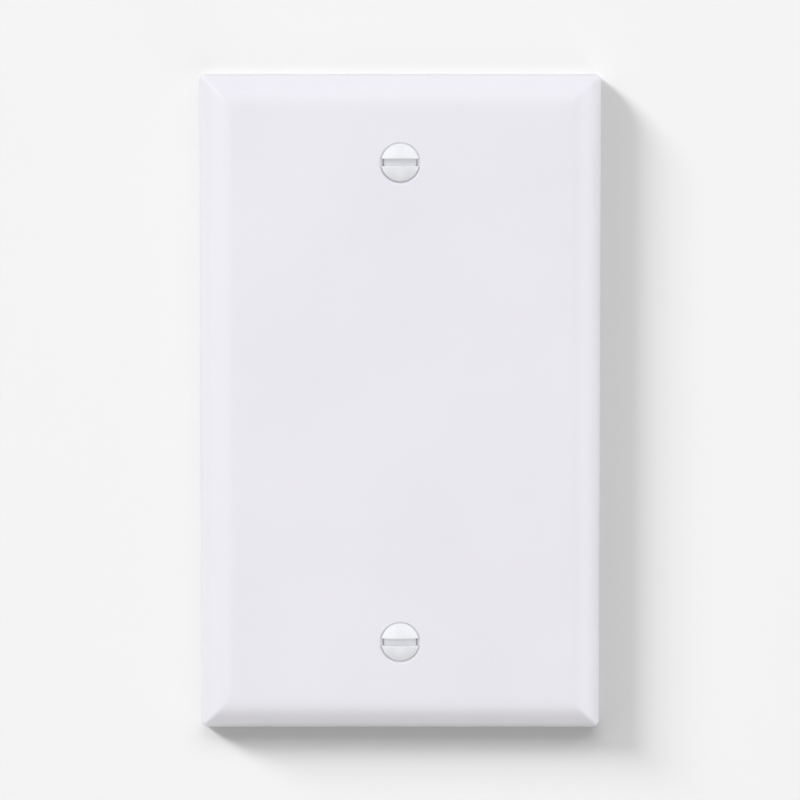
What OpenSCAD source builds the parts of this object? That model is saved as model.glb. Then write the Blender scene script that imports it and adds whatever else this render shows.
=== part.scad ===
// A blank single-gang wall plate cover with its two slotted oval-head screws.
// X runs across the plate, Z runs up it and -Y points out of its face.
// The origin is the centre of the plate, in the plane of the wall that its rim lies on.

/* [Plate] */
// Width of the plate
plate_w = 69.85; // [60:0.05:80]
// Height of the plate
plate_h = 114.3; // [104:0.1:140]
// How far the face stands off the wall
plate_depth = 5.6; // [5:0.1:7]
// Thickness of the face and of its curved bevel
face_t = 2.2; // [1.6:0.1:2.6]
// Thickness of the side walls, which is the width of the rim
side_t = 2; // [1.4:0.1:3]
// Width of the bevel, seen from the front
bevel_w = 6; // [4:0.25:6.25]
// Radius of the bevel's curve, which meets the face without a step
bevel_r = 6.5; // [6.5:0.25:12]
// Radius of the outline's four corners
corner_r = 1.2; // [0.4:0.1:3]

/* [Screws] */
// Distance between the two screws, the standard for a box with no device in it
screw_gap = 83.34; // [78:0.01:88]
// Outer diameter of the thread, a number 6
thread_d = 3.505; // [3.2:0.005:3.8]
// Diameter of the plain neck between the head and the thread
neck_d = 3; // [2.6:0.05:3.1]
// Length of that neck, about two turns of the thread
neck_len = 1.65; // [1.65:0.05:3]
// Length of a screw from the top of its head's cone to its tip
screw_len = 15.875; // [9.5:0.005:32]
// Diameter of the head at its edge
head_d = 6.6; // [6:0.05:6.9]
// Height of the head's dome above its edge
dome_h = 1; // [0.6:0.05:1.6]
// Height of the upright edge between the dome and the cone
edge_h = 0.12; // [0.05:0.01:0.25]
// Width of the slot across the head
slot_w = 1.25; // [0.8:0.05:1.6]
// Depth of the slot below the top of the dome
slot_depth = 1.65; // [0.8:0.05:2.1]
// Length of the bevelled tip
tip_len = 0.6; // [0.2:0.1:1.5]

/* [Screw holes] */
// Diameter of a hole where it opens in the face
mouth_d = 7.4; // [7:0.05:8]
// Diameter of the straight part of a hole
hole_d = 4; // [3.9:0.05:4.5]
// Diameter of the round boss behind each hole
boss_d = 10; // [8:0.25:13]

/* [Ribs] */
// Height of the ribs and bosses behind the face
back_h = 1.4; // [0.8:0.1:1.4]
// Thickness of a rib
rib_t = 1.2; // [0.8:0.1:2]
// Distance of the two long ribs from the plate's middle
long_rib_x = 17; // [9:0.5:24]
// Number of ribs across the plate, spread evenly between the two that meet the bosses
cross_ribs = 3; // [1:1:5]

/* [Hidden] */
$fn = 96;

// How far a cut runs on past the face that it opens
over = 1;
// How far a rib or boss reaches into the shell that it joins
bite = 0.3;
// The screws' seats are cut to this angle across
seat_angle = 82;
// Room between a head and its seat, square to the cone
seat_room = 0.12;

slope = tan(seat_angle / 2);
inner_depth = plate_depth - face_t;
bevel_axis = plate_depth - bevel_r;
seat_depth = (mouth_d - hole_d) / 2 / slope;
// Height above the wall of the top of the head's cone, which clears the seat by seat_room
edge_z = plate_depth - ((mouth_d - head_d) / 2 - seat_room / cos(seat_angle / 2)) / slope;
// Depth of the head's cone down to the neck
cone_depth = (head_d - neck_d) / 2 / slope;
dome_r = (pow(head_d / 2, 2) + pow(dome_h, 2)) / (2 * dome_h);
top_z = edge_z + edge_h + dome_h;

// Turns a shape drawn face up into the plate's place on a wall
module on_wall() {
    rotate([90, 0, 0]) children();
}

// Puts a copy of its children at each of the given places
module at_each(places) {
    for (place = places) translate(place) children();
}

// Section across the shell: a flat top that rolls off to both sides on an arc
module roll_off(span, side, depth, radius) {
    flat = span - 2 * bevel_w;
    intersection() {
        translate([-span / 2 + side, -over]) square([span - 2 * side, depth + over]);
        union() {
            translate([-flat / 2, -over]) square([flat, depth + over]);
            at_each([[-flat / 2, bevel_axis], [flat / 2, bevel_axis]]) circle(radius);
        }
    }
}

// A block that rolls off on all four sides, with mitred corners
module crowned_block(side, depth, radius) {
    reach = plate_w + plate_h;
    intersection() {
        rotate([90, 0, 0]) linear_extrude(reach, center = true) roll_off(plate_w, side, depth, radius);
        rotate([90, 0, 90]) linear_extrude(reach, center = true) roll_off(plate_h, side, depth, radius);
    }
}

// The plate's outline, with its corners rounded
module outline() {
    inset_w = plate_w - 2 * corner_r;
    inset_h = plate_h - 2 * corner_r;
    square([plate_w, inset_h], center = true);
    square([inset_w, plate_h], center = true);
    at_each([for (x = [-1, 1], y = [-1, 1]) [x * inset_w / 2, y * inset_h / 2]]) circle(corner_r);
}

// The plate's outer shape as one solid block
module block() {
    intersection() {
        crowned_block(0, plate_depth, bevel_r);
        linear_extrude(plate_depth) outline();
    }
}

// The hollow shell that the face, the bevel and the side walls make
module shell() {
    difference() {
        block();
        crowned_block(side_t, inner_depth, bevel_r - face_t);
    }
}

// One straight rib on the back of the face, running from side wall to side wall of the given span
module rib(span) {
    length = span - 2 * side_t + 2 * bite;
    translate([-length / 2, -rib_t / 2, inner_depth - back_h]) cube([length, rib_t, back_h + bite]);
}

// Two long ribs, with cross ribs between them and one through each boss
module ribs() {
    step = screw_gap / (cross_ribs + 1);
    at_each([[-long_rib_x, 0], [long_rib_x, 0]]) rotate([0, 0, 90]) rib(plate_h);
    at_each([for (i = [0:cross_ribs + 1]) [0, i * step - screw_gap / 2]]) rib(plate_w);
}

// A boss that carries each screw's seat
module boss() {
    translate([0, 0, inner_depth - back_h]) cylinder(h = back_h + bite, d = boss_d);
}

// A straight hole with a conical seat that opens in the face
module seated_hole() {
    translate([0, 0, -over]) cylinder(h = plate_depth, d = hole_d);
    translate([0, 0, plate_depth - seat_depth])
        cylinder(h = seat_depth + over, d1 = hole_d, d2 = mouth_d + 2 * over * slope);
}

module cover_plate() {
    screws = [[0, -screw_gap / 2], [0, screw_gap / 2]];
    color("ghostwhite") on_wall() difference() {
        union() {
            shell();
            // The block keeps the ends of the ribs from coming out through a thin bevel
            intersection() {
                block();
                union() {
                    ribs();
                    at_each(screws) boss();
                }
            }
        }
        at_each(screws) seated_hole();
    }
}

// Half of a screw's outline, from its axis outwards
module half_outline() {
    tip_z = edge_z - screw_len;
    cone_z = edge_z - cone_depth;
    thread_z = cone_z - neck_len;
    thread_r = thread_d / 2;
    neck_r = neck_d / 2;
    polygon([
        [0, tip_z],
        [thread_r - tip_len, tip_z],
        [thread_r, tip_z + tip_len],
        [thread_r, thread_z],
        [neck_r, thread_z + thread_r - neck_r],
        [neck_r, cone_z],
        [head_d / 2, edge_z],
        [0, top_z - dome_h / 2],
    ]);
    // Dome, with the narrow upright edge of the head below it
    intersection() {
        translate([0, top_z - dome_r]) circle(dome_r);
        translate([0, edge_z]) square([head_d / 2, dome_r]);
    }
}

// An oval-head screw on the Z axis, with its slot along X
module screw() {
    difference() {
        rotate_extrude() half_outline();
        translate([-head_d, -slot_w / 2, top_z - slot_depth]) cube([2 * head_d, slot_w, slot_depth + over]);
    }
}

module upper_screw() {
    color("white") on_wall() translate([0, screw_gap / 2]) screw();
}

module lower_screw() {
    color("white") on_wall() translate([0, -screw_gap / 2]) screw();
}

cover_plate();
upper_screw();
lower_screw();
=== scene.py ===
"""A blank wall plate with its two slotted screws, seen on a pale wall in soft light.

Shapes are worked out in millimetres, face up: x runs across the plate, y up it and z out of its face.
on_wall() turns them into the frame's metres, where the face looks along -Y and +Z is up.
"""

import math

import bmesh
import bpy
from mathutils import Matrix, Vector

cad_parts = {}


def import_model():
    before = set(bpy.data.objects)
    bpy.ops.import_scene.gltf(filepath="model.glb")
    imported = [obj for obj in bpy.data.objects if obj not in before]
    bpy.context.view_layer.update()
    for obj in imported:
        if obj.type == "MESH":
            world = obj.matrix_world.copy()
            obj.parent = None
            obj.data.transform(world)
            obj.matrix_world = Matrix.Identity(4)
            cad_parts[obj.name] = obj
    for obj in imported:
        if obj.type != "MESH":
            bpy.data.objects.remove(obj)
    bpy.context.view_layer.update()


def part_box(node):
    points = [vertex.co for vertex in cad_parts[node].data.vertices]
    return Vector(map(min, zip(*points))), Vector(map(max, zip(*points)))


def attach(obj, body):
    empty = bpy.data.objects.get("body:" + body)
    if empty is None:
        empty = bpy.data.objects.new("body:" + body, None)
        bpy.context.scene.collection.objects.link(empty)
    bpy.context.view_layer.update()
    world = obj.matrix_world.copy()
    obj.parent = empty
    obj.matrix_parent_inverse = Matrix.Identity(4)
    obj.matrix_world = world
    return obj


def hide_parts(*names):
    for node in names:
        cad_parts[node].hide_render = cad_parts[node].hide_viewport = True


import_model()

MM = 0.001

# The plate's size comes from the CAD body. The other sizes repeat the CAD model's own, in millimetres.
plate_low, plate_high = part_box("cover_plate")
PLATE_W = (plate_high.x - plate_low.x) / MM
PLATE_H = (plate_high.z - plate_low.z) / MM
DEPTH = -plate_low.y / MM
FACE_T = 2.2
SIDE_T = 2.0
BEVEL_W = 6.0
BEVEL_R = 6.5
CORNER_R = 1.2
INNER_DEPTH = DEPTH - FACE_T
BEVEL_AXIS = DEPTH - BEVEL_R

# Small roundings that a moulding has and the CAD model leaves out
SHOULDER_R = 0.5
RIDGE_R = 0.45
RIM_R = 0.15
POCKET_R = 0.6
LIP_R = 0.12
HOLE_EDGE_R = 0.15
RIB_FLARE = 0.4
BOSS_FLARE = 0.5

# Steps of the arcs: round a small rounding, across the bevel, across its inside and up the dome
ROUND_STEPS = 4
BEVEL_STEPS = 20
HOLLOW_STEPS = 12
DOME_STEPS = 20

# Points closer together than this are one, and edges sharper than this many degrees are creases
WELD_REACH = 0.002
CREASE = 32

# How far a cutter runs on past the surface that it opens
OVER = 1.0

BACK_H = 1.4
RIB_T = 1.2
LONG_RIB_X = 17.0
CROSS_RIBS = 3
BOSS_R = 5.0
BITE = 0.3
BACK_Z = INNER_DEPTH - BACK_H

# The prints of ejector pins lie between the ribs, in the side bays and in the middle one
PIN_R = 1.5
PIN_SINK = 0.07
SIDE_PIN_X = 25.5
MIDDLE_PIN_X = 9.0

HOLE_R = 2.0
MOUTH_R = 3.7
SEAT_ANGLE = 82
SEAT_SLOPE = math.tan(math.radians(SEAT_ANGLE / 2))

# The plate hangs on its screws, so its holes sit this much lower than they do
HANG = 0.13

# A screw's place and size come from its CAD body, whose slot cuts off the very top of the dome
screw_low, screw_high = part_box("upper_screw")
SLOT_W = 1.25
SLOT_DEPTH = 1.65
DOME_H = 1.0
EDGE_H = 0.12
SCREW_Y = (screw_low.z + screw_high.z) / 2 / MM
HEAD_R = (screw_high.z - screw_low.z) / 2 / MM
DOME_R = (HEAD_R**2 + DOME_H**2) / (2 * DOME_H)
TOP_Z = -screw_low.y / MM + DOME_R - math.sqrt(DOME_R**2 - (SLOT_W / 2) ** 2)
TIP_Z = -screw_high.y / MM
EDGE_Z = TOP_Z - DOME_H - EDGE_H
NECK_R = 1.5
NECK_LEN = 1.65
CONE_Z = EDGE_Z - (HEAD_R - NECK_R) / SEAT_SLOPE
THREAD_TOP = CONE_Z - NECK_LEN
THREAD_R = 1.7525
ROOT_R = 1.323
PITCH = 0.79375
TIP_LEN = 0.6

# The thread's flats, as parts of its pitch, and the slope between them
ROOT_FLAT = 1 / 4
CREST_FLAT = 1 / 8
FLANK = (1 - ROOT_FLAT - CREST_FLAT) / 2

# How far the gate's stub stands above the middle of the plate
GATE_Y = SCREW_Y / 4

# Refractive index of the plastic and of the enamel
PLASTIC_IOR = 1.5


# ---------------------------------------------------------------- outlines


def arc(centre, radius, start, end, steps):
    """Points on an arc, from one angle to another in degrees, both ends included."""
    turns = [math.radians(start + (end - start) * i / steps) for i in range(steps + 1)]
    return [(centre[0] + radius * math.cos(a), centre[1] + radius * math.sin(a)) for a in turns]


def rounded_rectangle(half_w, half_h, radius, steps=8):
    """Points round a rectangle with rounded corners, the same number for every size."""
    points = []
    for start, sx, sy in ((0, 1, 1), (90, -1, 1), (180, -1, -1), (270, 1, -1)):
        centre = (sx * (half_w - radius), sy * (half_h - radius))
        points += arc(centre, radius, start, start + 90, steps)
    return points


def corner_radius(inset):
    """The outline's corner radius, which shrinks inwards to that of the mitred ridges."""
    return max(RIDGE_R, CORNER_R - inset)


def outer_section():
    """The plate's outside as (inset, height) pairs, from the rim up to the edge of the face."""
    fillet_up = math.sqrt((BEVEL_R - SHOULDER_R) ** 2 - (BEVEL_W - SHOULDER_R) ** 2)
    fillet = (SHOULDER_R, BEVEL_AXIS + fillet_up)
    meet = 180 - math.degrees(math.atan2(fillet_up, BEVEL_W - SHOULDER_R))
    rim = arc((RIM_R, RIM_R), RIM_R, 270, 180, ROUND_STEPS)
    shoulder = arc(fillet, SHOULDER_R, 180, meet, ROUND_STEPS + 1)
    bevel = arc((BEVEL_W, BEVEL_AXIS), BEVEL_R, meet, 90, BEVEL_STEPS)
    return rim + shoulder + bevel[1:]


def inner_section():
    """The hollow back as (inset, height) pairs, from the rim up to the underside of the face."""
    radius = BEVEL_R - FACE_T
    start = 180 - math.degrees(math.acos((BEVEL_W - SIDE_T) / radius))
    rim = arc((SIDE_T - RIM_R, RIM_R), RIM_R, 270, 360, ROUND_STEPS)
    hollow = arc((BEVEL_W, BEVEL_AXIS), radius, start, 90, HOLLOW_STEPS)
    return rim + hollow


# ---------------------------------------------------------------- mesh tools


def add_loop(bm, points, height):
    return [bm.verts.new((x, y, height)) for x, y in points]


def bridge(bm, low, high):
    """Joins two loops of the same length with a band of quads."""
    count = len(low)
    for i in range(count):
        j = (i + 1) % count
        bm.faces.new((low[i], low[j], high[j], high[i]))


def circle(radius, steps):
    return arc((0, 0), radius, 0, 360, steps)[:-1]


def fan(bm, ring, height, flip=False):
    """Closes a ring with triangles that meet on the axis."""
    tip = bm.verts.new((0, 0, height))
    for a, b in zip(ring, ring[1:] + ring[:1]):
        bm.faces.new((b, a, tip) if flip else (a, b, tip))


def new_object(name, bm):
    mesh = bpy.data.meshes.new(name)
    bmesh.ops.recalc_face_normals(bm, faces=bm.faces)
    bm.to_mesh(mesh)
    bm.free()
    piece = bpy.data.objects.new(name, mesh)
    bpy.context.scene.collection.objects.link(piece)
    return piece


def lathe(name, profile, steps, place=(0, 0)):
    """A closed solid turned about the z axis at place. Its profile is (radius, height) pairs off the axis."""
    bm = bmesh.new()
    rings = [add_loop(bm, circle(radius, steps), height) for radius, height in profile]
    for low, high in zip(rings, rings[1:]):
        bridge(bm, low, high)
    bm.faces.new(rings[0][::-1])
    bm.faces.new(rings[-1])
    bmesh.ops.translate(bm, verts=bm.verts, vec=(place[0], place[1], 0))
    return new_object(name, bm)


def prism(name, sections):
    """A closed solid through sections that each have the same number of points."""
    bm = bmesh.new()
    loops = [[bm.verts.new(p) for p in section] for section in sections]
    for low, high in zip(loops, loops[1:]):
        bridge(bm, low, high)
    bm.faces.new(loops[0][::-1])
    bm.faces.new(loops[-1])
    return new_object(name, bm)


def combine(piece, tools, operation):
    """Joins the tools to the piece, or cuts them out of it, and removes them."""
    for tool in tools:
        step = piece.modifiers.new(operation, "BOOLEAN")
        step.operation = operation
        step.solver = "EXACT"
        step.object = tool
    apply_modifiers(piece)
    weld(piece, WELD_REACH)
    for tool in tools:
        bpy.data.objects.remove(tool)


def weld(piece, reach):
    """Merges points closer together than reach, which a cut can leave where two edges all but meet."""
    bm = bmesh.new()
    bm.from_mesh(piece.data)
    bmesh.ops.remove_doubles(bm, verts=bm.verts, dist=reach)
    bmesh.ops.dissolve_degenerate(bm, edges=bm.edges, dist=reach)
    bm.to_mesh(piece.data)
    bm.free()


def apply_modifiers(piece):
    graph = bpy.context.evaluated_depsgraph_get()
    shaped = bpy.data.meshes.new_from_object(piece.evaluated_get(graph))
    piece.modifiers.clear()
    piece.data = shaped
    shaped.name = piece.name


def on_wall(piece):
    """Turns a piece made face up, in millimetres, into its place in the frame."""
    for vertex in piece.data.vertices:
        x, y, z = vertex.co
        vertex.co = (x * MM, -z * MM, y * MM)


def shade(piece):
    """Smooth shading that stays flat on flat faces and breaks at creases."""
    piece.data.shade_smooth()
    piece.data.set_sharp_from_angle(angle=math.radians(CREASE))
    weighted = piece.modifiers.new("weighted", "WEIGHTED_NORMAL")
    weighted.keep_sharp = True
    weighted.weight = 100
    apply_modifiers(piece)


# ---------------------------------------------------------------- the plate


def plate_shell():
    """One closed skin: the underside of the face, the hollow, the rim, the sides, the bevel and the face."""
    loops = [(inset, height, POCKET_R) for inset, height in reversed(inner_section())]
    loops += [(inset, height, corner_radius(inset)) for inset, height in outer_section()]
    bm = bmesh.new()
    rings = []
    for inset, height, radius in loops:
        outline = rounded_rectangle(PLATE_W / 2 - inset, PLATE_H / 2 - inset, radius)
        rings.append(add_loop(bm, outline, height))
    for low, high in zip(rings, rings[1:]):
        bridge(bm, low, high)
    bm.faces.new(rings[0][::-1])
    bm.faces.new(rings[-1])
    return new_object("plate_shell", bm)


def foot(half_width, flare):
    """Half of a rib's or boss's section as (distance from its middle, height), from its free end up."""
    rounding = arc((half_width - RIM_R, BACK_Z + RIM_R), RIM_R, 270, 360, ROUND_STEPS)
    fillet = arc((half_width + flare, INNER_DEPTH - flare), flare, 180, 100, ROUND_STEPS + 1)
    top = (fillet[-1][0], INNER_DEPTH + BITE)
    return rounding + fillet + [top]


def rib(name, length, place, upright):
    """A rib with a rounded edge, which spreads where it meets the back of the face."""
    half = foot(RIB_T / 2, RIB_FLARE)
    section = half + [(-across, height) for across, height in reversed(half)]
    ends = []
    for along in (-length / 2, length / 2):
        if upright:
            ends.append([(place[0] + across, place[1] + along, height) for across, height in section])
        else:
            ends.append([(place[0] + along, place[1] + across, height) for across, height in section])
    return prism(name, ends)


def ribs():
    """Two long ribs, and cross ribs between them and through each boss."""
    tools = []
    for side in (-1, 1):
        length = PLATE_H - 2 * SIDE_T + 2 * BITE
        tools.append(rib("long_rib", length, (side * LONG_RIB_X, 0), True))
    step = 2 * SCREW_Y / (CROSS_RIBS + 1)
    for i in range(CROSS_RIBS + 2):
        length = PLATE_W - 2 * SIDE_T + 2 * BITE
        tools.append(rib("cross_rib", length, (0, i * step - SCREW_Y), False))
    return tools


def boss(y):
    return lathe("boss", foot(BOSS_R, BOSS_FLARE), steps=64, place=(0, y))


def screw_hole(y):
    """The cutter for a hole: a rounded lip at the boss, a straight part, the conical seat and its mouth."""
    bottom = 0.5
    seat_z = DEPTH - (MOUTH_R - HOLE_R) / SEAT_SLOPE
    lip = arc((HOLE_R + HOLE_EDGE_R, BACK_Z + HOLE_EDGE_R), HOLE_EDGE_R, 255, 180, ROUND_STEPS)
    turn = math.degrees(math.atan(1 / SEAT_SLOPE))
    run = LIP_R * math.tan(math.radians(turn / 2))
    mouth = arc((MOUTH_R + run, DEPTH - LIP_R), LIP_R, 90 + turn, 105, ROUND_STEPS)
    profile = [(lip[0][0], bottom)] + lip + [(HOLE_R, seat_z)] + mouth + [(mouth[-1][0], DEPTH + OVER)]
    return lathe("screw_hole", profile, steps=96, place=(0, y))


def pin_mark(x, y):
    """The shallow round print of an ejector pin on the back of the face."""
    below = 0.5
    profile = [(PIN_R, INNER_DEPTH - below), (PIN_R, INNER_DEPTH + PIN_SINK)]
    return lathe("pin_mark", profile, steps=32, place=(x, y))


def pin_marks():
    """Two prints in each half of either side bay, and one near each end of the middle bay on both sides."""
    marks = []
    for x, parts in ((SIDE_PIN_X, (0.25, 0.75)), (MIDDLE_PIN_X, (0.75,))):
        for side in (-1, 1):
            for end in (-1, 1):
                marks += [pin_mark(side * x, end * SCREW_Y * part) for part in parts]
    return marks


def gate_stub(x, y):
    """The broken-off stub where the plastic flowed into the mould."""
    low = INNER_DEPTH - 0.45
    broken_end = [(0.35, low - 0.06), (0.62, low), (0.8, low + 0.1)]
    root = [(0.95, INNER_DEPTH - 0.1), (1.15, INNER_DEPTH + BITE)]
    return lathe("gate_stub", broken_end + root, steps=24, place=(x, y))


def make_plate():
    plate = plate_shell()
    holes = (-SCREW_Y - HANG, SCREW_Y - HANG)
    combine(plate, ribs() + [boss(y) for y in holes] + [gate_stub(0, GATE_Y)], "UNION")
    combine(plate, [screw_hole(y) for y in holes] + pin_marks(), "DIFFERENCE")
    on_wall(plate)
    shade(plate)
    plate.name = plate.data.name = "plate_moulding"
    return plate


# ---------------------------------------------------------------- the screws


def thread_radius(height, turn):
    """The radius of a right-hand thread at a height, and at a turn counted from 0 to 1 round the screw."""
    turns_up = (height - TIP_Z) / PITCH - turn
    phase = abs(turns_up - round(turns_up))
    rise = min(max((phase - ROOT_FLAT / 2) / FLANK, 0), 1)
    radius = ROOT_R + (THREAD_R - ROOT_R) * rise
    fade = min(max((THREAD_TOP - height) / PITCH, 0), 1)
    fade = fade * fade * (3 - 2 * fade)
    radius = NECK_R + (radius - NECK_R) * fade
    return min(radius, THREAD_R - TIP_LEN + height - TIP_Z)


def thread(bm, columns, rows_per_turn=16):
    """A helical grid of quads, closed by a flat ring at each end. Returns the lowest and the highest ring."""
    low = add_loop(bm, circle(THREAD_R - TIP_LEN, columns), TIP_Z)
    high = add_loop(bm, circle(NECK_R, columns), THREAD_TOP)
    rows = rows_per_turn * (math.ceil((THREAD_TOP - TIP_Z) / PITCH) + 2)
    touching = 1e-6
    grid = []
    for column in range(columns):
        turn = column / columns
        line = []
        for row in range(rows + 1):
            height = TIP_Z + PITCH * (row / rows_per_turn - 1 + turn)
            if height <= TIP_Z + touching:
                line.append(low[column])
            elif height >= THREAD_TOP - touching:
                line.append(high[column])
            else:
                radius = thread_radius(height, turn)
                angle = math.tau * turn
                line.append(bm.verts.new((radius * math.cos(angle), radius * math.sin(angle), height)))
        grid.append(line)
    grid.append(grid[0][rows_per_turn:] + [high[0]] * rows_per_turn)
    for here, there in zip(grid, grid[1:]):
        for row in range(rows):
            corners = [here[row], there[row], there[row + 1], here[row + 1]]
            distinct = list(dict.fromkeys(corners))
            if len(distinct) > 2:
                bm.faces.new(distinct)
    return low, high


def head_section():
    """The screw above its thread as (radius, height) pairs, up to the last ring below the top of the dome."""
    fillet = 0.08
    flare = 0.03
    under_edge = 0.08
    chamfer = 0.02
    rise = 0.05
    edge = 0.06
    neck = [(NECK_R, CONE_Z - fillet), (NECK_R + flare, CONE_Z)]
    cone = [(HEAD_R - under_edge, EDGE_Z - edge), (HEAD_R - chamfer, EDGE_Z), (HEAD_R, EDGE_Z + rise)]
    start = math.degrees(math.asin((DOME_R - DOME_H) / DOME_R))
    dome = arc((0, TOP_Z - DOME_R), DOME_R, start, 90, DOME_STEPS)
    shoulder = [(HEAD_R, EDGE_Z + EDGE_H - edge), (HEAD_R - chamfer, EDGE_Z + EDGE_H)]
    return neck + cone + shoulder + dome[1:-1]


def slot_cutter():
    """A bar along the slot with rounded floor corners, whose lips spread where it leaves the dome."""
    floor = TOP_Z - SLOT_DEPTH
    half = SLOT_W / 2
    lip = 0.09
    round_r = 0.14
    sections = []
    steps = 24
    reach = HEAD_R + 0.6
    for i in range(steps + 1):
        x = reach * (2 * i / steps - 1)
        rim = TOP_Z - DOME_R + math.sqrt(DOME_R**2 - min(abs(x), HEAD_R) ** 2 - half**2)
        side = arc((half - round_r, floor + round_r), round_r, 270, 360, ROUND_STEPS)
        side += arc((half + lip, rim - lip), lip, 180, 105, ROUND_STEPS)
        side.append((side[-1][0], TOP_Z + OVER))
        outline = side + [(-y, z) for y, z in reversed(side)]
        sections.append([(x, y, z) for y, z in outline])
    return prism("slot_cutter", sections)


def make_screw(name, y, columns=72):
    bm = bmesh.new()
    low, ring = thread(bm, columns)
    fan(bm, low, TIP_Z, flip=True)
    for radius, height in head_section():
        above = add_loop(bm, circle(radius, columns), height)
        bridge(bm, ring, above)
        ring = above
    fan(bm, ring, TOP_Z)
    screw = new_object(name, bm)
    combine(screw, [slot_cutter()], "DIFFERENCE")
    for vertex in screw.data.vertices:
        vertex.co.y += y
    on_wall(screw)
    shade(screw)
    return screw


# ---------------------------------------------------------------- materials


def new_material(name):
    """A new material's node tree and its shader."""
    material = bpy.data.materials.new(name)
    material.use_nodes = True
    return material, material.node_tree, material.node_tree.nodes["Principled BSDF"]


def add(tree, kind, inputs, **settings):
    """Adds a shader node. An input's value is a number, a colour or another node's output."""
    node = tree.nodes.new("ShaderNode" + kind)
    for key, value in settings.items():
        setattr(node, key, value)
    for key, value in inputs.items():
        if isinstance(value, bpy.types.NodeSocket):
            tree.links.new(value, node.inputs[key])
        else:
            node.inputs[key].default_value = value
    return node


def object_place(tree):
    """Each point's place on the object, in metres, whatever way the piece has turned."""
    return add(tree, "TexCoord", {}).outputs["Object"]


def noise(tree, place, size, detail=2.0):
    """Cloudy noise whose blotches are about the given size in millimetres."""
    return add(tree, "TexNoise", {"Vector": place, "Scale": 1 / (size * MM), "Detail": detail}).outputs["Fac"]


def spread(tree, value, low, high, to_low, to_high):
    """Turns the range low to high of a value into another range, and holds it there outside."""
    inputs = {"Value": value, "From Min": low, "From Max": high, "To Min": to_low, "To Max": to_high}
    return add(tree, "MapRange", inputs).outputs["Result"]


def maths(tree, operation, first, second=0.0):
    return add(tree, "Math", {0: first, 1: second}, operation=operation).outputs[0]


def mix(tree, amount, first, second):
    """Blends two colours."""
    return add(tree, "Mix", {0: amount, 6: first, 7: second}, data_type="RGBA").outputs[2]


def bump(tree, height, depth, below=None):
    """A relief of the given depth in millimetres, on top of another one if there is one."""
    inputs = {"Height": height, "Distance": depth * MM, "Strength": 1.0}
    if below:
        inputs["Normal"] = below
    return add(tree, "Bump", inputs).outputs["Normal"]


def off_axis(tree, z):
    """How far each point is above or below the axis of the nearer screw, counted outwards from the middle."""
    return maths(tree, "SUBTRACT", maths(tree, "ABSOLUTE", z), SCREW_Y * MM)


def screw_radius(tree, x, z):
    """Each point's distance from the axis of the nearer screw."""
    x_squared = maths(tree, "POWER", x, 2.0)
    z_squared = maths(tree, "POWER", off_axis(tree, z), 2.0)
    return maths(tree, "SQRT", maths(tree, "ADD", x_squared, z_squared))


def connect(tree, shader, **sources):
    """Links outputs to the shader's inputs, with _ for a space in an input's name."""
    for key, source in sources.items():
        tree.links.new(source, shader.inputs[key.replace("_", " ")])


def face_plastic():
    """White satin plastic with faint flow clouds and orange peel. Its edges are dulled by handling and
    darkened, partly by that wear and partly as painted shade, and the seats under the screw heads hold
    painted shade.
    """
    darker = (0.824, 0.804, 0.868, 1)
    lighter = (0.838, 0.818, 0.88, 1)
    # Darker outline colour: partly handling wear, partly painted shade on the rounded edge
    handled_and_shaded = (0.73, 0.72, 0.76, 1)
    # Painted shade colour for the seats under the screw heads
    seat_shade = (0.5, 0.5, 0.51, 1)
    edge_band_width = 0.6 * MM
    material, tree, shader = new_material("plate_plastic_face")
    place = object_place(tree)
    clouds = noise(tree, place, 24, 3.0)
    peel = noise(tree, place, 1.6)
    grain = noise(tree, place, 0.22)
    patchy_noise = noise(tree, place, 2.2, 5.0)
    x, _, z = add(tree, "SeparateXYZ", {0: place}).outputs
    across = maths(tree, "SUBTRACT", maths(tree, "ABSOLUTE", x), PLATE_W / 2 * MM)
    along = maths(tree, "SUBTRACT", maths(tree, "ABSOLUTE", z), PLATE_H / 2 * MM)
    # A band along the outline, darkened partly by handling wear and partly as painted shade; its roughness is
    # dulled by the wear
    near_edge = spread(tree, maths(tree, "MAXIMUM", across, along), -edge_band_width, 0, 0, 1)
    from_screw = screw_radius(tree, x, maths(tree, "ADD", z, HANG * MM))
    # Painted shade in each seat under and just round the screw head's rim, where it shows through the ends of
    # the slot
    under_head = spread(tree, from_screw, (HEAD_R - 0.15) * MM, (HEAD_R + 0.05) * MM, 1, 0)
    edge_wear_and_shade = maths(tree, "MULTIPLY", near_edge, spread(tree, patchy_noise, 0.4, 0.6, 0.6, 1))
    tone = mix(tree, spread(tree, clouds, 0.35, 0.65, 0, 1), darker, lighter)
    # Mixes in the darker outline: handling wear and painted shade
    worn_and_shaded = mix(tree, maths(tree, "MULTIPLY", edge_wear_and_shade, 0.6), tone, handled_and_shaded)
    # Mixes in the painted shade under the screw heads
    shade_under_head = maths(tree, "MULTIPLY", under_head, spread(tree, patchy_noise, 0.35, 0.65, 0.45, 0.65))
    worn_and_shaded = mix(tree, shade_under_head, worn_and_shaded, seat_shade)
    dulling = maths(tree, "MULTIPLY", edge_wear_and_shade, 0.12)
    rough = maths(tree, "ADD", spread(tree, clouds, 0.3, 0.7, 0.3, 0.36), dulling)
    relief = bump(tree, grain, 0.0012, bump(tree, peel, 0.006))
    connect(tree, shader, Base_Color=worn_and_shaded, Roughness=rough, Normal=relief)
    shader.inputs["IOR"].default_value = PLASTIC_IOR
    return material


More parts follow.
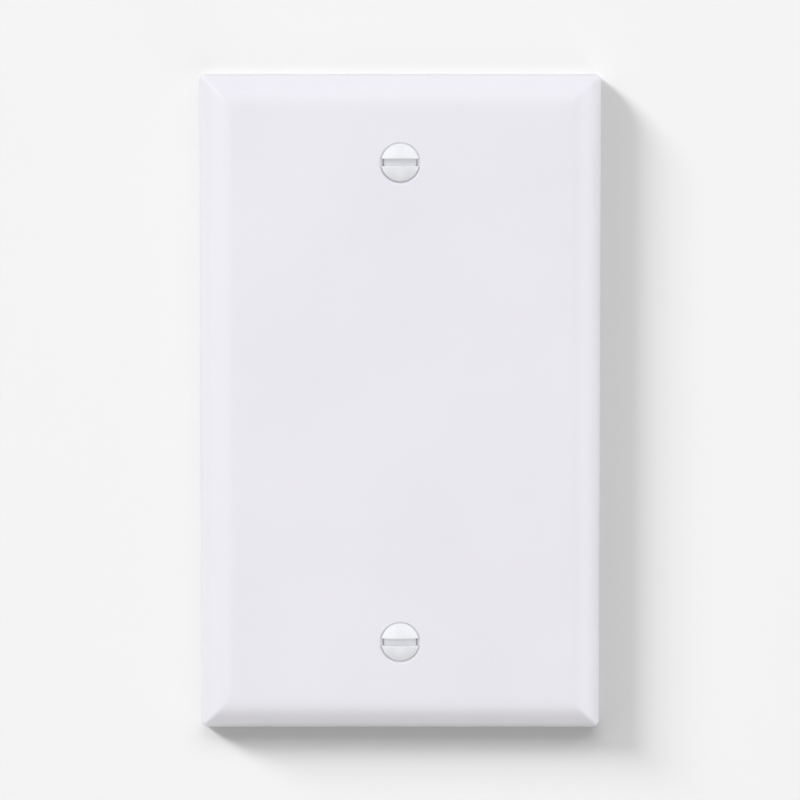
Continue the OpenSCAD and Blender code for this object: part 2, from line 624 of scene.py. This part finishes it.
def back_plastic():
    """The same plastic on the mould's unpolished side: matt and pitted, with flow marks round the gate."""
    darker = (0.79, 0.775, 0.825, 1)
    lighter = (0.83, 0.815, 0.865, 1)
    flow_pitch = 5 * MM
    material, tree, shader = new_material("plate_plastic_back")
    place = object_place(tree)
    clouds = noise(tree, place, 14, 4.0)
    pits = noise(tree, place, 0.35, 3.0)
    from_gate = add(tree, "VectorMath", {0: place, 1: (0, 0, GATE_Y * MM)}, operation="DISTANCE")
    gate = from_gate.outputs["Value"]
    warped = maths(tree, "ADD", gate, maths(tree, "MULTIPLY", clouds, 9 * MM))
    ripple = maths(tree, "SINE", maths(tree, "MULTIPLY", warped, math.tau / flow_pitch))
    fading = spread(tree, gate, 4 * MM, 34 * MM, 0.5, 0)
    flow = maths(tree, "MULTIPLY", ripple, fading)
    shade_by = spread(tree, maths(tree, "ADD", clouds, maths(tree, "MULTIPLY", flow, 0.25)), 0.3, 0.7, 0, 1)
    tone = mix(tree, shade_by, darker, lighter)
    rough = spread(tree, pits, 0.3, 0.7, 0.46, 0.6)
    relief = bump(tree, pits, 0.008)
    connect(tree, shader, Base_Color=tone, Roughness=rough, Normal=relief)
    shader.inputs["IOR"].default_value = PLASTIC_IOR
    return material


def screw_paint():
    """White enamel on the head, which thins out below it to the zinc-plated shank."""
    enamel_darker = (0.829, 0.83, 0.868, 1)
    enamel_lighter = (0.845, 0.845, 0.882, 1)
    zinc_blue = (0.66, 0.68, 0.72, 1)
    zinc_yellow = (0.8, 0.79, 0.74, 1)
    # The colour the zinc darkens towards at the roots of the thread
    root_dark = (0.16, 0.15, 0.14, 1)
    material, tree, shader = new_material("screw_paint")
    place = object_place(tree)
    x, y, z = add(tree, "SeparateXYZ", {0: place}).outputs
    radius = screw_radius(tree, x, z)
    peel = noise(tree, place, 0.7)
    blotches = noise(tree, place, 0.5, 4.0)
    streaks = noise(tree, place, 0.3, 5.0)

    # Bare metal shows below the head, and in a few tiny chips at the lips of the slot
    fade_y = maths(tree, "ADD", y, maths(tree, "MULTIPLY", blotches, 1.2 * MM))
    bare_shank = spread(tree, fade_y, -CONE_Z * MM + 0.5 * MM, -CONE_Z * MM + 1.1 * MM, 0, 1)
    from_slot = maths(tree, "ABSOLUTE", off_axis(tree, z))
    from_lip = maths(tree, "ABSOLUTE", maths(tree, "SUBTRACT", from_slot, (SLOT_W / 2 + 0.03) * MM))
    at_lip = spread(tree, from_lip, 0.03 * MM, 0.1 * MM, 1, 0)
    chips = maths(tree, "MULTIPLY", at_lip, spread(tree, streaks, 0.6, 0.66, 0, 0.7))
    bare = maths(tree, "MAXIMUM", bare_shank, chips)

    enamel = mix(tree, spread(tree, blotches, 0.3, 0.7, 0, 1), enamel_darker, enamel_lighter)
    zinc = mix(tree, spread(tree, streaks, 0.35, 0.65, 0, 1), zinc_blue, zinc_yellow)
    # The zinc is darker towards the roots of the thread
    root_darkening = spread(tree, radius, ROOT_R * MM, (ROOT_R + 0.16) * MM, 0.4, 0)
    shank = mix(tree, root_darkening, zinc, root_dark)
    rough_enamel = spread(tree, blotches, 0.3, 0.7, 0.2, 0.27)
    rough_zinc = spread(tree, streaks, 0.3, 0.7, 0.28, 0.48)
    rough = add(tree, "Mix", {0: bare, 2: rough_enamel, 3: rough_zinc}, data_type="FLOAT").outputs[0]
    relief = bump(tree, streaks, 0.0015, bump(tree, peel, 0.004))
    colour = mix(tree, bare, enamel, shank)
    connect(tree, shader, Base_Color=colour, Roughness=rough, Metallic=bare, Normal=relief)
    shader.inputs["IOR"].default_value = PLASTIC_IOR
    return material


def wall_paint():
    """Plain pale paint with a very slight roller texture."""
    darker = (0.795, 0.795, 0.795, 1)
    lighter = (0.805, 0.805, 0.805, 1)
    material, tree, shader = new_material("wall_paint")
    place = object_place(tree)
    tone = mix(tree, noise(tree, place, 30, 3.0), darker, lighter)
    relief = bump(tree, noise(tree, place, 1.2, 3.0), 0.004)
    connect(tree, shader, Base_Color=tone, Normal=relief)
    shader.inputs["Roughness"].default_value = 0.8
    shader.inputs["Specular IOR Level"].default_value = 0.2
    return material


# ---------------------------------------------------------------- wall, light and camera


def wall():
    """A pale sheet in the wall's plane, open behind the plate so that the hollow back can be seen."""
    inset = 0.25
    behind = -0.02
    reach = 140
    bm = bmesh.new()
    opening = rounded_rectangle(PLATE_W / 2 - inset, PLATE_H / 2 - inset, CORNER_R - inset)
    hole = add_loop(bm, opening, behind)
    rim = add_loop(bm, rounded_rectangle(reach, reach, 1), behind)
    bridge(bm, hole, rim)
    sheet = new_object("wall", bm)
    on_wall(sheet)
    sheet.data.materials.append(wall_paint())
    return sheet


def toward(bearing, height):
    """The direction at a bearing round the wall, from +X towards +Z, and a height off it, in degrees."""
    round_wall = math.radians(bearing)
    out = math.radians(height)
    along = math.cos(out)
    return Vector((along * math.cos(round_wall), -math.sin(out), along * math.sin(round_wall)))


def lamp(name, direction, distance, size, watts, only, colour=(1, 1, 1)):
    """A soft lamp, size metres wide and high, that faces the plate and lights only the given objects."""
    light = bpy.data.lights.new(name, "AREA")
    light.color = colour
    light.shape = "ELLIPSE" if size[0] == size[1] else "RECTANGLE"
    light.size, light.size_y = size
    light.energy = watts
    holder = bpy.data.objects.new(name, light)
    bpy.context.scene.collection.objects.link(holder)
    holder.location = direction * distance
    holder.rotation_euler = direction.to_track_quat("Z", "Y").to_euler()
    holder.visible_camera = False
    lit = bpy.data.collections.new(name + "_lights")
    for piece in only:
        lit.objects.link(piece)
    holder.light_linking.receiver_collection = lit


def light_wall(sheet):
    """Light on the wall alone: a soft lamp low at the upper left, a strip above, and two fainter ones."""
    far = 12
    lamp("wall_graze", toward(142.5, 16.8), far, (3.1, 3.1), 1980, [sheet])
    lamp("wall_strip", toward(90, 37), far, (22, 4.4), 990, [sheet])
    lamp("wall_low", toward(300, 27), far, (10, 6), 370, [sheet])
    lamp("wall_left", toward(180, 25), far, (6, 6), 160, [sheet])


def light_object(pieces):
    """Light on the plate and its screws: cool lamps above, plain ones at the sides, a warm one below."""
    cool = (0.975, 1, 1.005)
    warm = (0.97, 1, 0.82)
    near = 2.5
    large = (2.2, 2.2)
    small = (1.4, 1.4)
    lamp("upper_left", toward(135, 38), near, large, 18.3, pieces, cool)
    lamp("upper_right", toward(45, 38), near, large, 15, pieces, cool)
    lamp("left_side", toward(180, 29), near, large, 17, pieces)
    lamp("right_side", toward(0, 24), near, large, 20, pieces)
    lamp("left_front", toward(180, 65), near, small, 8.4, pieces)
    lamp("low_front", toward(270, 50), near, small, 7.6, pieces, warm)


def light_back(things):
    """Two soft lamps behind the wall, for views of the hollow back."""
    lamp("back_upper", toward(150, -30), 2, (0.8, 0.8), 26, things)
    lamp("back_lower", toward(330, -60), 2, (1.4, 1.4), 8, things)


def world():
    """A pale background that gives less light than it shows, and less from below than from above."""
    sky = bpy.data.worlds.new("studio")
    sky.use_nodes = True
    tree = sky.node_tree
    up = add(tree, "SeparateXYZ", {0: add(tree, "TexCoord", {}).outputs["Generated"]}).outputs[2]
    strength = spread(tree, up, -1, 1, 0.17, 0.51)
    dim = add(tree, "Background", {"Color": (0.9, 0.9, 0.9, 1), "Strength": strength})
    shown = add(tree, "Background", {"Color": (0.905, 0.905, 0.905, 1)})
    path = add(tree, "LightPath", {})
    both = add(tree, "MixShader", {0: path.outputs["Is Camera Ray"], 1: dim.outputs[0], 2: shown.outputs[0]})
    tree.links.new(both.outputs[0], tree.nodes["World Output"].inputs["Surface"])
    bpy.context.scene.world = sky


def camera():
    """A long lens in front of the middle of the plate and three degrees above it."""
    distance = 0.55
    lens = bpy.data.cameras.new("camera")
    lens.lens = 141.2
    lens.sensor_width = 36
    lens.clip_start = 0.01
    holder = bpy.data.objects.new("camera", lens)
    bpy.context.scene.collection.objects.link(holder)
    target = Vector((-0.03 * MM, 0, 0.28 * MM))
    holder.location = target + toward(90, 87) * distance
    holder.rotation_euler = (target - holder.location).to_track_quat("-Z", "Y").to_euler()
    bpy.context.scene.camera = holder


# ---------------------------------------------------------------- the whole


def place_plate():
    plate = make_plate()
    plate.data.materials.clear()
    plate.data.materials.append(face_plastic())
    plate.data.materials.append(back_plastic())
    # The faces inside the rim and up to the underside of the face have the back's finish
    underside = INNER_DEPTH + 0.1
    for polygon in plate.data.polygons:
        x, y, z = (abs(c) / MM for c in polygon.center)
        inset = min(PLATE_W / 2 - x, PLATE_H / 2 - z)
        polygon.material_index = int(inset > SIDE_T - RIM_R and y < underside)
    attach(plate, "plate")
    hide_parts("cover_plate")
    return plate


def place_screw(node, body, y, paint):
    screw = make_screw(node + "_threaded", y)
    screw.data.materials.clear()
    screw.data.materials.append(paint)
    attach(screw, body)
    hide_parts(node)
    return screw


paint = screw_paint()
pieces = [
    place_plate(),
    place_screw("upper_screw", "upper_fastener", SCREW_Y, paint),
    place_screw("lower_screw", "lower_fastener", -SCREW_Y, paint),
]
sheet = wall()
light_wall(sheet)
light_object(pieces)
light_back([sheet] + pieces)
world()
camera()
bpy.context.scene.view_settings.view_transform = "Standard"
